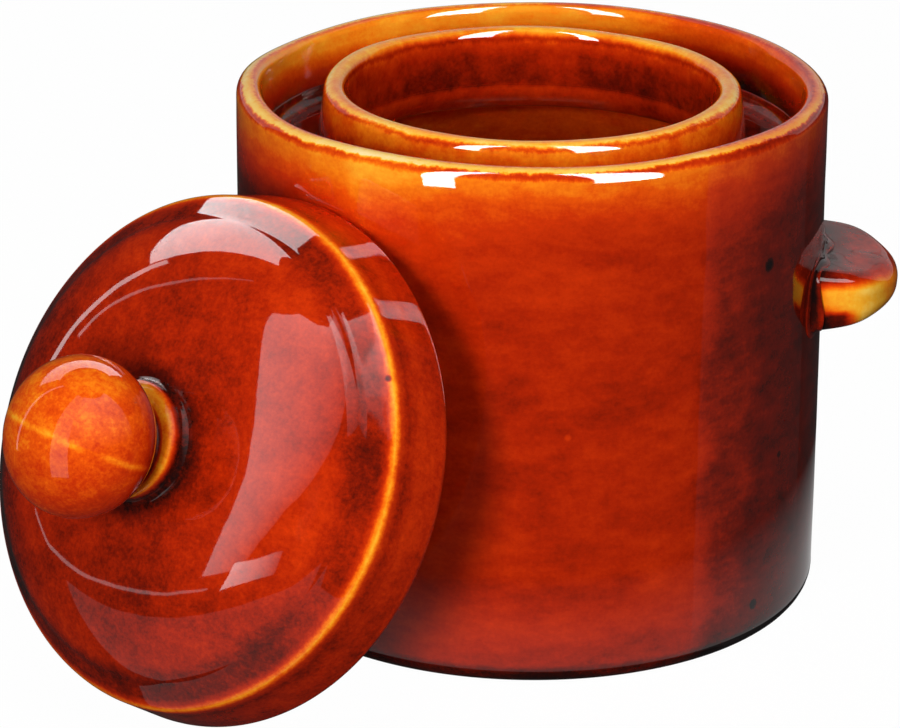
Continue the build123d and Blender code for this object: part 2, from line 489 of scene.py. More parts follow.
neck = turned_piece(
    "neck",
    neck_outline,
    320,
    {"depth": neck_depth, "edge": -distance_from(neck_outline, neck_lip) / mm},
    shape=thrown_neck,
    ring=True,
)
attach(neck, "crock")
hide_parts("water_channel_neck")

# %% [markdown]
# ## The lugs
#
# Each handle is a solid lug, thickest at the wall. Seen from above it is a round-cornered shape whose
# front is a flat arc, and its edge is almost a half round. Its surface is worked out in rays: from a
# point inside the wall, one angle sweeps the plan from side to side, and a second parameter runs from the
# middle of the top, out over the edge, and back along the bottom.

# %% Lug surface
lug_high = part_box("handle_right")[1]
lug_half_width = lug_high.y
lug_tip = lug_high.x
lug_front_radius = lug_half_width * 1.26
lug_corner = lug_half_width * 0.526
lug_top = crock_height - 57.2 * mm
lug_bottom = lug_top - 21.5 * mm
lug_fall = 0.134
lug_rise = 0.157
lug_edge_round = 6.2 * mm
lug_centre = crock_radius - 5 * mm
lug_half_sweep = np.pi / 2 * 1.12
corner_softness = lug_corner / 7


def lug_reach(angle):
    """How far the plan reaches from the lug's centre at an angle.

    The plan is where three shapes overlap: the strip between its two sides, a large circle whose front
    is the lug's tip, and their corners taken off by a softened minimum, log-sum-exp with a small width.
    """
    ahead, across = np.cos(angle), np.abs(np.sin(angle))
    side = lug_half_width / np.maximum(across, 1e-6)
    offset = lug_tip - lug_front_radius - lug_centre
    front = offset * ahead + np.sqrt(lug_front_radius ** 2 - (offset * across) ** 2)
    return -corner_softness * np.log(np.exp(-side / corner_softness) + np.exp(-front / corner_softness))


def turned_to(points, bearing):
    """The points turned round the crock's axis by a bearing."""
    ahead, across = np.cos(bearing), np.sin(bearing)
    return points @ np.array([[ahead, across, 0], [-across, ahead, 0], [0, 0, 1]])


def lug_piece(name, bearing):
    """A lug at a bearing, 0 along +X and pi along -X.

    At reach q from the centre the top lies at top - fall (q - wall) and the bottom at bottom + rise
    (q - wall). Within one edge rounding of the plan's end, both are drawn in by the quarter circle
    rounding - sqrt(rounding^2 - (rounding - gap)^2).
    """
    columns, rows = 150, 40
    angle = np.linspace(-lug_half_sweep, lug_half_sweep, columns)
    share = np.sin(np.linspace(0, np.pi / 2, rows))
    reach = lug_reach(angle)[None] * share[:, None]
    gap = lug_reach(angle)[None] - reach
    inside = np.clip(lug_edge_round - gap, 0, lug_edge_round)
    drawn_in = lug_edge_round - np.sqrt(lug_edge_round ** 2 - inside ** 2)
    x = lug_centre + reach * np.cos(angle)
    y = reach * np.sin(angle)
    past_wall = x - crock_radius
    top = lug_top - lug_fall * past_wall
    bottom = lug_bottom + lug_rise * past_wall
    middle = (top + bottom) / 2
    half = (top - bottom) / 2
    height = np.maximum(half - drawn_in, 0)
    upper = np.stack([x, y, middle + height], -1)
    lower = np.stack([x, y, middle - height], -1)[::-1]
    between = np.linspace(0, 1, 5)[1:-1, None, None]
    band = upper[-1:] * (1 - between) + lower[:1] * between
    grid = np.concatenate([upper, band, lower])
    edge = np.concatenate([gap, np.zeros((len(band), columns)), gap[::-1]])
    wall_gap = np.hypot(grid[..., 0], grid[..., 1]) - crock_radius
    face = (grid[..., 2] - middle[-1].mean()) / half.mean()
    out = grid - np.array([lug_centre, 0, middle.mean()])
    out /= np.linalg.norm(out, axis=-1)[..., None] + 1e-9
    grid = grid + out * swells(grid, 26 * mm, seed=23, height=0.25 * mm)[..., None]
    on_top = ease(face, 0.45, 0.4)
    under = ease(-face, 0.15, 0.3) * ease(lug_tip - grid[..., 0], 14 * mm, 6 * mm)
    on_tip = ease(grid[..., 0], lug_tip - 11 * mm, 9 * mm) * (1 - on_top)
    near_wall = np.exp(-np.clip(wall_gap, 0, None) / (5 * mm))
    depth = 0.19 + 0.18 * on_tip + 0.55 * on_top + 0.65 * under + 0.35 * near_wall
    rows_all = grid.shape[0]
    squares = grid_faces(rows_all, columns, wrap_columns=False)
    start, end = grid[:, 0], grid[:, -1]
    middle_start, middle_end = start.mean(0), end.mean(0)
    points = np.concatenate([grid.reshape(-1, 3), middle_start[None], middle_end[None]])
    side = np.arange(rows_all - 1) * columns
    first, last = grid[..., 0].size, grid[..., 0].size + 1
    next_row = side + columns
    triangles = np.concatenate([fan(first, next_row, side), fan(last, next_row - 1, next_row + columns - 1)])
    points = turned_to(points, bearing)
    depth = np.concatenate([depth.ravel(), [1, 1]])
    edge = np.concatenate([edge.ravel() / mm, [9, 9]])
    values = {"depth": depth, "edge": edge, "own": points}
    piece = mesh_object(name, points, squares, triangles, values)
    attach(piece, "crock")
    return piece


lug_right = lug_piece("lug_right", 0)
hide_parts("handle_right")
lug_left = lug_piece("lug_left", np.pi)
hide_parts("handle_left")

# %% [markdown]
# ## Where a lug meets the wall
#
# A lug is stuck on with slip, and the potter runs a finger round the joint. That leaves a small hollow
# fillet, and the glaze pools in it and turns dark. It is a profile carried along a path: the path is the
# lug's outline on the wall, and the profile is a quarter circle that touches both.


# %% Fillets of slip
def lug_fillet(name, bearing, radius=3.2 * mm):
    """A hollow fillet round a lug's root.

    The path is a rounded rectangle in y and height, laid on the wall by x = sqrt(R^2 - y^2). With n the
    outward way in that plane and w the wall's own normal, the fillet's surface at angle a is
    path + radius ((1 - sin a) n + (1 - cos a) w), and two points sunk in the wall and the lug close it.
    """
    corners = [
        (-lug_half_width, lug_bottom, lug_edge_round),
        (lug_half_width, lug_bottom, lug_edge_round),
        (lug_half_width, lug_top, lug_edge_round),
        (-lug_half_width, lug_top, lug_edge_round),
    ]
    path = outline_of(corners, spacing=1.5 * mm, arc_points=12, closed=True)
    ahead = np.roll(path, -1, axis=0) - np.roll(path, 1, axis=0)
    ahead /= np.linalg.norm(ahead, axis=1)[:, None]
    across, height = path.T
    outward = np.stack([np.zeros(len(path)), ahead[:, 1], -ahead[:, 0]], -1)
    wall_x = np.sqrt(crock_radius ** 2 - across ** 2)
    base = np.stack([wall_x, across, height], -1)
    wall_normal = np.stack([wall_x, across, np.zeros(len(path))], -1) / crock_radius
    outward -= wall_normal * (outward * wall_normal).sum(-1)[:, None]
    outward /= np.linalg.norm(outward, axis=1)[:, None]
    size = radius * (1 + swells(base, 22 * mm, seed=29, height=0.3))[:, None]
    angle = np.linspace(0, np.pi / 2, 10)
    surface = [
        base + size * ((1 - np.sin(a)) * outward + (1 - np.cos(a)) * wall_normal) for a in angle
    ]
    sink = 1.5 * mm
    sunk = [base + size * wall_normal - outward * sink, base + size * outward - wall_normal * sink]
    grid = np.stack(surface + sunk)
    rows, columns = grid.shape[:2]
    deep = np.concatenate([1.0 - 0.22 * np.abs(np.cos(2 * angle)), [0.9, 0.9]])
    points = turned_to(grid.reshape(-1, 3), bearing)
    depth = np.broadcast_to(deep[:, None], (rows, columns)).ravel()
    values = {"depth": depth, "edge": np.full(depth.shape, far_from_edge), "own": points}
    piece = mesh_object(name, points, grid_faces(rows, columns, wrap_rows=True), values=values)
    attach(piece, "crock")
    return piece


fillet_right = lug_fillet("lug_fillet_right", 0)
fillet_left = lug_fillet("lug_fillet_left", np.pi)

# %% [markdown]
# ## The lid's own frame
#
# The lid leans on the crock: its edge stands on the table and its upper edge rests on the wall. All its
# surfaces are made in a frame of its own, with its axis up, and one matrix then lays them in place.

# %% Lid's place
skirt_radius = inner_radius - 5 * mm
skirt_edge_round = 3 * mm
ring_radius = skirt_radius - skirt_edge_round
lean = np.radians(24.13)
bearing = np.radians(-130.1)
side_step = 10.1 * mm
wall_gap = 0.35 * mm

reach_in = np.sqrt(ring_radius ** 2 - side_step ** 2) * np.sin(lean)
outward = crock_radius + wall_gap + skirt_edge_round * (1 - np.cos(lean)) + reach_in
lid_height = ring_radius * np.cos(lean) + skirt_edge_round * (1 - np.sin(lean))
level = np.array([np.cos(bearing), np.sin(bearing), 0])
sideways = np.array([-np.sin(bearing), np.cos(bearing), 0])
lid_axis = level * np.cos(lean) + np.array([0, 0, np.sin(lean)])
lid_place = np.eye(4)
lid_place[:3, 0] = sideways
lid_place[:3, 1] = np.cross(lid_axis, sideways)
lid_place[:3, 2] = lid_axis
lid_place[:3, 3] = level * outward - sideways * side_step + np.array([0, 0, lid_height])

# %% [markdown]
# ## The lid
#
# From its foot the lid has a skirt, a rounded edge, a narrow sloping ledge, a crease, and then a full
# shoulder that runs on into a shallow crown. Shoulder and crown are one smooth curve through four points,
# because the glaze mirrors every change of slope. The glaze runs off the edge, which shows yellow, and
# gathers in the crease and round the knob's collar.

# %% Lid
draw_angle = np.radians(9.5)
skirt_draw = np.tan(draw_angle)
hollow_radius = skirt_radius - 6.4 * mm
hollow_height = 15.5 * mm
edge_height = 22.9 * mm
crease = np.array([skirt_radius - 11.5 * mm, edge_height + 7.2 * mm])
crest = crease + np.array([-26.5, 13.1]) * mm
pad_radius = 22 * mm
pad_height = crest[1] + 4.8 * mm
crown_thickness = 7 * mm
foot = ring_radius + skirt_edge_round * np.tan(np.pi / 4 + draw_angle / 2)
shoulder = [crease + (crest - crease) * np.array(share) for share in ((0.21, 0.42), (0.51, 0.77))]


def rise_inward(degrees):
    """A way towards the axis that rises at an angle above level."""
    return (-np.cos(np.radians(degrees)), np.sin(np.radians(degrees)))


hollow_top = (hollow_radius - hollow_height * skirt_draw, hollow_height)
under_points = [np.array([pad_radius, pad_height]), crest, shoulder[-1], crease]
under = curve_through(
    [(0, pad_height - crown_thickness)]
    + [point - np.array([0, crown_thickness]) for point in under_points]
    + [hollow_top],
    (1, 0), (skirt_draw, -1), 46,
)
skirt = outline_of([
    (*hollow_top, 0),
    (hollow_radius, 0, 3 * mm),
    (foot, 0, 3 * mm),
    (foot - edge_height * skirt_draw, edge_height, 5 * mm),
    (*crease, 0),
], spacing=1.6 * mm, arc_points=11)
crown_edge = (pad_radius, pad_height)
dome = curve_through([crease, *shoulder, crown_edge], rise_inward(58), rise_inward(7), 54)
crown_top = outline_of([(*crown_edge, 0), (0, pad_height, 0)], spacing=2 * mm)
lid_outline = np.concatenate([under, skirt[1:], dome[1:], crown_top[1:]])
lid_edge = (foot - edge_height * skirt_draw - 1.1 * mm, edge_height - 0.2 * mm)
lid_depth = spread_values(lid_outline, [
    (0, pad_height - crown_thickness, 0.8),
    (hollow_top[0], hollow_top[1], 0.75),
    (hollow_radius + 1 * mm, 1 * mm, 0.5),
    (foot - 2.6 * mm, 0, 0.40),
    (foot - 1.2 * mm, 2 * mm, 0.66),
    (foot - 1.6 * mm, 5 * mm, 0.70),
    (foot - 2.5 * mm, 12 * mm, 0.62),
    (foot - 3.3 * mm, 18 * mm, 0.70),
    (lid_edge[0], lid_edge[1], 0.44),
    (crease[0] + 5 * mm, crease[1] - 3 * mm, 0.72),
    (crease[0] + 1 * mm, crease[1], 0.76),
    (shoulder[0][0], shoulder[0][1], 0.64),
    (shoulder[1][0], shoulder[1][1], 0.66),
    (crest[0], crest[1], 0.69),
    (38 * mm, crest[1] + 2 * mm, 0.70),
    (27 * mm, pad_height - 0.7 * mm, 0.74),
    (24 * mm, pad_height - 0.3 * mm, 0.80),
    (pad_radius, pad_height, 0.88),
    (0, pad_height, 1.0),
])


def thrown_lid(grid, normal):
    """Shallow swells along the normal, less near the skirt's foot, which has to stand where it stands."""
    slow = swells(grid, 75 * mm, seed=31, height=0.06 * mm)
    fine = swells(grid, 24 * mm, seed=37, height=0.003 * mm)
    free = ease(grid[..., 2], 6 * mm, 12 * mm)
    return grid + normal * ((slow + fine) * free)[..., None]


def uneven_coat(grid):
    """Painted shade: more depth on the side that hangs low and on the far side, and a little uneven depth.
    """
    above_foot = ease(grid[..., 2], 0, 10 * mm)
    low_side = ease(-grid[..., 1], 0, skirt_radius)
    far_side = ease(-grid[..., 0], 40 * mm, 40 * mm)
    uneven = swells(grid, 45 * mm, seed=53, height=0.015)
    return 0.02 + uneven + (0.07 * low_side + 0.2 * far_side) * above_foot


lid = turned_piece(
    "lid",
    lid_outline,
    384,
    {"depth": lid_depth, "edge": distance_from(lid_outline, lid_edge) / mm},
    place=lid_place,
    shape=thrown_lid,
    coat=uneven_coat,
)
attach(lid, "lid")
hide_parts("lid_cover")

# %% [markdown]
# ## The knob
#
# The knob is a ball on a short stem over a flat collar, made apart and luted to the lid a little off its
# centre. One outline makes all of it, and the part above the collar is pushed sideways by a smooth step.
# A seam left by the mould runs round the ball; it stands up a little, so the glaze is thin on it.

# %% Knob
collar_radius = 19 * mm
collar_top = pad_height + 6.5 * mm
knob_centre = pad_height + 27.4 * mm
knob_radius = 25.8 * mm
knob_half_height = 21.4 * mm
stem_radius = 13 * mm
knob_offset = 2.3 * mm
seam_way = np.array([0.10, 0.995, -0.02])
seam_way /= np.linalg.norm(seam_way)
seam_width = 0.9 * mm
seam_height = 0.05 * mm

root_height = np.sqrt(1 - (stem_radius / knob_radius) ** 2) * knob_half_height
start_angle = np.arcsin(-root_height / knob_half_height)
ball_angle = np.linspace(start_angle + 0.16, np.pi / 2, 74)
ball = np.stack([
    knob_radius * np.cos(ball_angle),
    knob_centre + knob_half_height * np.sin(ball_angle),
], -1)
ball[-1, 0] = 0
collar = outline_of([
    (0, pad_height - 1.5 * mm, 0),
    (pad_radius + 2 * mm, pad_height - 1.5 * mm, 0),
    (collar_radius, pad_height + 0.6 * mm, 3 * mm),
    (collar_radius, collar_top, 2.5 * mm),
    (stem_radius, collar_top, 1.2 * mm),
    (*ball[0], 0),
], spacing=0.9 * mm)
knob_outline = np.concatenate([collar, ball[1:]])
knob_depth = spread_values(knob_outline, [
    (0, pad_height - 1.5 * mm, 1.0),
    # The collar's side and the stem's foot under the ball are dark: pooled glaze, and also painted shade
    # under the ball.
    (collar_radius, pad_height + 2 * mm, 0.94),
    (collar_radius, collar_top - 2.5 * mm, 0.7),
    (collar_radius - 0.8 * mm, collar_top - 0.8 * mm, 0.34),
    (collar_radius - 3 * mm, collar_top, 0.40),
    (stem_radius + 1.5 * mm, collar_top, 0.85),
    (ball[0][0], ball[0][1], 0.98),
    (ball[8][0], ball[8][1], 0.72),
    (ball[22][0], ball[22][1], 0.52),
    (ball[40][0], ball[40][1], 0.44),
    (0, ball[-1][1], 0.44),
])


def luted_knob(grid, normal):
    """Pushes what is above the collar off centre, lifts the seam, and adds shallow swells."""
    step = ease(grid[..., 2], collar_top - 2 * mm, 3 * mm)
    step = step * step * (3 - 2 * step)
    across = (grid - np.array([0, 0, knob_centre])) @ seam_way
    ridge = np.exp(-(across / seam_width) ** 2) * seam_height * (grid[..., 2] > collar_top + 3 * mm)
    slow = swells(grid, 40 * mm, seed=41, height=0.1 * mm)
    moved = grid + normal * (slow * step + ridge)[..., None]
    moved[..., 1] -= knob_offset * step
    return moved


def thin_seam(grid):
    """Less depth on the seam, in a bell curve across it, and painted shade on the side that hangs down."""
    across = (grid - np.array([0, -knob_offset, knob_centre])) @ seam_way
    on_ball = grid[..., 2] > collar_top + 2 * mm
    patchy = 0.16 + swells(grid, 12 * mm, seed=47, height=0.04)
    hanging = 0.14 * ease(-grid[..., 1], 0, knob_radius)
    on_seam = np.exp(-((across + 0.5 * mm) / (1.1 * mm)) ** 2)
    return (0.03 + hanging - patchy * on_seam) * on_ball


knob = turned_piece(
    "knob",
    knob_outline,
    256,
    {"depth": knob_depth, "edge": np.full(len(knob_outline), far_from_edge)},
    place=lid_place,
    shape=luted_knob,
    coat=thin_seam,
)
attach(knob, "lid")
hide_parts("lid_knob")

# %% [markdown]
# ## The glaze
#
# The glaze is glass with iron in it, over pale clay. Its colour depends on how thick it lies, so the
# material works out one number, the depth, and a colour ramp turns that into cream, yellow, orange, red
# and black. The depth is what the mesh carries, plus clouds and specks of noise. In a few places the mesh's
# depth is painted shade: at the crock's foot and sides, on the lid's low and far sides, and on the knob's
# low side and under its ball. Near an edge the glaze has drawn back and run: the distance from the edge is
# shaken by streaks of noise that are long in the way the glaze ran, and a second ramp turns it into a
# yellow band and the dark, ragged line under it.


# %% Colours and small helpers
def tint(red, green, blue):
    """A colour that is named by its 0 to 255 screen values, as the linear values that Blender works in."""
    share = np.array([red, green, blue]) / 255
    linear = np.where(share <= 0.04045, share / 12.92, ((share + 0.055) / 1.055) ** 2.4)
    return (*linear.tolist(), 1.0)


glaze_colours = [
    (0.00, tint(250, 222, 160)),
    (0.14, tint(253, 206, 92)),
    (0.24, tint(252, 178, 44)),
    (0.36, tint(248, 134, 20)),
    (0.48, tint(228, 84, 9)),
    (0.59, tint(200, 50, 6)),
    (0.70, tint(170, 34, 4)),
    (0.82, tint(112, 19, 4)),
    (0.93, tint(52, 11, 6)),
    (1.00, tint(22, 8, 8)),
]


def new_material(name):
    """A material with nodes, and only its output and a Principled shader in them."""
    material = bpy.data.materials.new(name)
    material.use_nodes = True
    tree = material.node_tree
    return material, tree, tree.nodes["Principled BSDF"]


def node(tree, kind, settings=None, inputs=None):
    """Adds a node, sets its own settings, and fills or links its inputs by name or number."""
    made = tree.nodes.new(kind)
    for title, value in (settings or {}).items():
        setattr(made, title, value)
    for socket, value in (inputs or {}).items():
        if isinstance(value, bpy.types.NodeSocket):
            tree.links.new(value, made.inputs[socket])
        else:
            made.inputs[socket].default_value = value
    return made


def stored(tree, name, output="Fac"):
    """A value that the mesh carries: a number, or with the output Vector a place."""
    return node(tree, "ShaderNodeAttribute", {"attribute_name": name}).outputs[output]


def maths(tree, operation, *values):
    """What one Math node makes of its values, which are numbers or other nodes' outputs."""
    return node(tree, "ShaderNodeMath", {"operation": operation}, dict(enumerate(values))).outputs[0]


def sum_of(tree, first, second, factor=1.0):
    """first + second * factor, as one node."""
    return maths(tree, "MULTIPLY_ADD", second, factor, first)


def cloud(tree, place, size, detail=3.0, roughness=0.55, distortion=0.0):
    """Noise about zero, from -0.5 to 0.5, whose patches are roughly `size` metres wide."""
    noise = node(tree, "ShaderNodeTexNoise", inputs={
        "Vector": place, "Scale": 1 / size, "Detail": detail, "Roughness": roughness,
        "Distortion": distortion,
    })
    return maths(tree, "SUBTRACT", noise.outputs["Fac"], 0.5)


def stretched(tree, place, scale):
    """The same place with each axis scaled, which makes noise long one way."""
    return node(tree, "ShaderNodeVectorMath", {"operation": "MULTIPLY"}, {0: place, 1: scale}).outputs[0]


def ramp(tree, value, stops):
    """A colour ramp, straight between the given stops of (position, colour)."""
    made = node(tree, "ShaderNodeValToRGB", inputs={0: value})
    elements = made.color_ramp.elements
    while len(elements) < len(stops):
        elements.new(0.5)
    for element, (position, colour) in zip(elements, stops):
        element.position, element.color = position, colour
    return made.outputs["Color"]


def grey(value):
    """A grey of a linear value, for ramps that carry a number."""
    return (value, value, value, 1.0)


# %% [markdown]
# One function makes the glaze for every piece. The pieces differ in how it ran and clouded, and in what
# it did at the edges.

# %% Glaze
glaze_roughness = 0.035
bump_height = 0.04 * mm
edge_low, edge_high = -10.0, far_from_edge


def glaze_material(name, edge_stops, clouds, streak, run_scale, flat_scale=(1.0, 1.0, 1.0), spots=()):
    """The amber glaze.

    depth = mesh depth + clouds + edge band. `edge_stops` gives the band: pairs of distance from the edge
    in millimetres, from -10 to 30, and what is added to the depth there. `clouds` gives the strength of
    wide, middle and fine mottling. `streak` is how far, in millimetres, the streaks shake the band, and
    `run_scale` stretches them along the way the glaze ran. `spots` are small faults in the glaze: a
    place in the piece's own frame, a radius, and what is added to the depth in the middle.
    """
    material, tree, shader = new_material(name)
    own = stored(tree, "own", "Vector")
    depth = stored(tree, "depth")
    edge = stored(tree, "edge")
    wide, middle, fine = clouds
    run_place = stretched(tree, own, run_scale)
    flat_place = stretched(tree, own, flat_scale)

    depth = sum_of(tree, depth, cloud(tree, flat_place, 34 * mm, 4.0, 0.6, 0.4), wide)
    depth = sum_of(tree, depth, cloud(tree, flat_place, 6.5 * mm, 4.0, 0.65), middle)
    depth = sum_of(tree, depth, cloud(tree, own, 1.4 * mm, 3.0, 0.7), fine)

    shaken = sum_of(tree, edge, cloud(tree, run_place, 2.2 * mm, 4.0, 0.75), streak)
    shaken = sum_of(tree, shaken, cloud(tree, own, 30 * mm, 3.0, 0.6), streak * 1.1)
    position = node(tree, "ShaderNodeMapRange", inputs={
        "Value": shaken, "From Min": edge_low, "From Max": edge_high, "To Min": 0.0, "To Max": 1.0,
    }).outputs[0]
    band = ramp(tree, position, [
        ((distance - edge_low) / (edge_high - edge_low), grey(0.5 + added)) for distance, added in edge_stops
    ])
    depth = sum_of(tree, sum_of(tree, depth, band), -0.5)
    for place, radius, added in spots:
        gap = node(tree, "ShaderNodeVectorMath", {"operation": "DISTANCE"}, {0: own, 1: place})
        nearness = node(tree, "ShaderNodeMapRange", {"interpolation_type": "SMOOTHSTEP"}, {
            "Value": gap.outputs["Value"],
            "From Min": radius, "From Max": radius * 0.3, "To Min": 0.0, "To Max": 1.0,
        }).outputs[0]
        depth = sum_of(tree, depth, nearness, added)

    colour = ramp(tree, depth, glaze_colours)
    tree.links.new(colour, shader.inputs["Base Color"])
    shader.inputs["Roughness"].default_value = glaze_roughness
    shader.inputs["IOR"].default_value = 1.5
    shader.inputs["Specular IOR Level"].default_value = 0.5

    ripple = cloud(tree, own, 11 * mm, 1.0, 0.4)
    orange_peel = cloud(tree, own, 2.2 * mm, 1.0, 0.4)
    relief = sum_of(tree, ripple, orange_peel, 0.05)
    bump = node(tree, "ShaderNodeBump", inputs={"Strength": 1.0, "Distance": bump_height, "Height": relief})
    tree.links.new(bump.outputs["Normal"], shader.inputs["Normal"])
    return material


crock_glaze = glaze_material(
    "crock_glaze",
    [
        (-10, 0), (-4.8, 0), (-3.8, -0.22), (-2.2, -0.33), (-0.9, -0.33), (-0.2, 0.0),
        (0.5, 0.14), (1.4, 0.08), (2.6, -0.08), (8, -0.04), (12, 0), (30, 0),
    ],
    clouds=(0.24, 0.20, 0.12),
    streak=3.4,
    run_scale=(1.0, 1.0, 0.14),
    flat_scale=(0.7, 0.7, 1.5),
    spots=[
        ((13.1 * mm, -99.1 * mm, 88.8 * mm), 1.6 * mm, -0.12),
        ((84.3 * mm, -53.7 * mm, 66.1 * mm), 1.6 * mm, 0.12),
        ((76.8 * mm, -64.1 * mm, 15.7 * mm), 2.4 * mm, 0.22),
        ((78.3 * mm, -62.2 * mm, 136.1 * mm), 3.2 * mm, 0.14),
    ],
)
neck_glaze = glaze_material(
    "neck_glaze",
    [
        (-10, 0), (-8.5, 0.16), (-7, 0.04), (-3.6, -0.08), (-0.5, -0.14),
        (0.4, 0.12), (1.2, 0.22), (2.4, 0.05), (6, 0.02), (12, 0.04), (30, 0),
    ],
    clouds=(0.34, 0.30, 0.14),
    streak=3.6,
    run_scale=(1.0, 1.0, 0.12),
)
lug_glaze = glaze_material(
    "lug_glaze",
    [(-10, 0), (0, -0.04), (2, 0.0), (30, 0)],
    clouds=(0.50, 0.25, 0.10),
    streak=2.0,
    run_scale=(1.0, 1.0, 0.3),
)
lid_glaze = glaze_material(
    "lid_glaze",
    [(-10, 0), (-2.2, 0.02), (-1.0, -0.10), (0, -0.18), (1.2, -0.12), (2.4, 0.02), (7, 0.0), (30, 0)],
    clouds=(0.24, 0.24, 0.24),
    streak=1.6,
    run_scale=(0.35, 0.35, 1.0),
    spots=[((70.9 * mm, 41.8 * mm, 24.0 * mm), 1.5 * mm, 0.4)],
)
knob_glaze = glaze_material(
    "knob_glaze",
    [(-10, 0), (30, 0)],
    clouds=(0.34, 0.32, 0.26),
    streak=0.0,
    run_scale=(1.0, 1.0, 0.6),
)
for piece, material in (
    (crock, crock_glaze), (neck, neck_glaze), (lug_right, lug_glaze), (lug_left, lug_glaze),
    (fillet_right, lug_glaze), (fillet_left, lug_glaze), (lid, lid_glaze), (knob, knob_glaze),
):
    piece.data.materials.append(material)

# %% [markdown]
# ## The weight stones
#
# The stones are bare stoneware, so that nothing in the brine can eat a glaze. Their solids have the right
# shape and stay; only a dry, speckled clay is put on them.


# %% Bare clay
def clay_material():
    """Buff clay: pale, rough, with iron specks and a fine grain that also raises the surface."""
    material, tree, shader = new_material("bare_clay")
    place = node(tree, "ShaderNodeTexCoord").outputs["Object"]
    patches = sum_of(tree, cloud(tree, place, 20 * mm, 4.0), cloud(tree, place, 1.2 * mm, 4.0), 0.8)
    body = ramp(tree, sum_of(tree, patches, 0.5), [
        (0.2, tint(176, 158, 132)), (0.5, tint(205, 190, 164)), (0.8, tint(222, 210, 188)),
    ])
    spots = node(tree, "ShaderNodeTexVoronoi", inputs={"Vector": place, "Scale": 320.0}).outputs["Distance"]
    speck = ramp(tree, spots, [(0.0, grey(1.0)), (0.1, grey(1.0)), (0.16, grey(0.0))])
    mixed = node(tree, "ShaderNodeMix", {"data_type": "RGBA"}, {
        "Factor": speck, 6: body, 7: tint(104, 74, 52),
    })
    tree.links.new(mixed.outputs[2], shader.inputs["Base Color"])
    shader.inputs["Roughness"].default_value = 0.85
    grain = cloud(tree, place, 0.9 * mm, 4.0, 0.7)
    bump = node(tree, "ShaderNodeBump", inputs={"Strength": 0.6, "Distance": 0.3 * mm, "Height": grain})
    tree.links.new(bump.outputs["Normal"], shader.inputs["Normal"])
    return material


bare_clay = clay_material()
for side in ("left", "right"):
    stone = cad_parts[f"weight_stone_{side}"]
    stone.data.materials.clear()
    stone.data.materials.append(bare_clay)

# %% [markdown]
# ## Floor and backdrop
#
# The photograph's background is plain white. The white belongs to the floor's and the world's own colour
# as the camera sees them, so that the object gets no extra light. The glaze mirrors the studio, which was
# dark but for its lamps, so the floor stays out of mirror rays and the world is dim in them.


# %% Floor
def floor_material():
    """White to the camera, with the shadow kept faint."""
    material, tree, shader = new_material("floor")
    shader.inputs["Base Color"].default_value = (0.8, 0.8, 0.8, 1.0)
    shader.inputs["Roughness"].default_value = 0.9
    shader.inputs["Specular IOR Level"].default_value = 0.0
    path = node(tree, "ShaderNodeLightPath").outputs
    seen = maths(tree, "MAXIMUM", path["Is Camera Ray"], path["Is Transmission Ray"])
    glow = node(tree, "ShaderNodeEmission", inputs={"Color": grey(1.0), "Strength": 1.0}).outputs[0]
    white = node(tree, "ShaderNodeMixShader", inputs={0: 0.985, 1: shader.outputs[0], 2: glow}).outputs[0]
    dark = node(tree, "ShaderNodeBsdfDiffuse", inputs={"Color": grey(0.2)}).outputs[0]
    final = node(tree, "ShaderNodeMixShader", inputs={0: seen, 1: dark, 2: white}).outputs[0]
    tree.links.new(final, tree.nodes["Material Output"].inputs["Surface"])
    return material


half_floor = 3.0
floor_points = np.array([[-1, -1, 0], [1, -1, 0], [1, 1, 0], [-1, 1, 0]]) * half_floor
floor = mesh_object("floor", floor_points, np.array([[0, 1, 2, 3]]))
floor.data.materials.append(floor_material())
floor.visible_glossy = False

# %% [markdown]
# The world is white to the camera, gives a little fill light, and is dimmer still in mirror rays.

# %% World
world = bpy.data.worlds.new("studio")
world.use_nodes = True
bpy.context.scene.world = world
studio = world.node_tree
path = node(studio, "ShaderNodeLightPath").outputs
seen_white = maths(studio, "MAXIMUM", path["Is Camera Ray"], path["Is Transmission Ray"])
fill_strength = 0.05
mirror_strength = 0.025
backdrop = node(studio, "ShaderNodeMix", {"data_type": "FLOAT"}, {
    0: path["Is Glossy Ray"], 2: fill_strength, 3: mirror_strength,
}).outputs[0]
strength = node(studio, "ShaderNodeMix", {"data_type": "FLOAT"}, {
    0: seen_white, 2: backdrop, 3: 1.0,
}).outputs[0]
studio.links.new(strength, studio.nodes["Background"].inputs["Strength"])
studio.nodes["Background"].inputs["Color"].default_value = grey(1.0)

# %% [markdown]
# ## Lamps
#
# A tall softbox stands left of the camera. It lights the wall from the side and throws the lid's shadow on
# it. A wide one hangs above, a weak one stands on the right, and a little light comes from behind. These
# lamps only light the glaze; what the glaze mirrors is set apart from them, further down. Each lamp is
# placed by its bearing round the jar, its height above the horizon and its distance.


# %% Lamps
def way_to(bearing, elevation):
    """The unit way from the jar to something at a bearing and an elevation, in degrees."""
    turned_by, raised_by = np.radians(bearing), np.radians(elevation)
    flat = np.cos(raised_by)
    return Vector((np.cos(turned_by) * flat, np.sin(turned_by) * flat, np.sin(raised_by)))


jar_middle = Vector((0, -0.03, 0.1))


def softbox(name, bearing, elevation, distance, width, height, radiance):
    """An area lamp that faces the jar. Its power is radiance times its area times pi."""
    data = bpy.data.lights.new(name, "AREA")
    data.shape = "RECTANGLE"
    data.size, data.size_y = width, height
    data.energy = radiance * width * height * np.pi
    lamp = bpy.data.objects.new(name, data)
    bpy.context.scene.collection.objects.link(lamp)
    way = way_to(bearing, elevation)
    facing = way.to_track_quat("Z", "Y").to_matrix().to_4x4()
    lamp.matrix_world = Matrix.Translation(jar_middle + way * distance) @ facing
    lamp.visible_camera = False
    lamp.visible_glossy = False
    return lamp


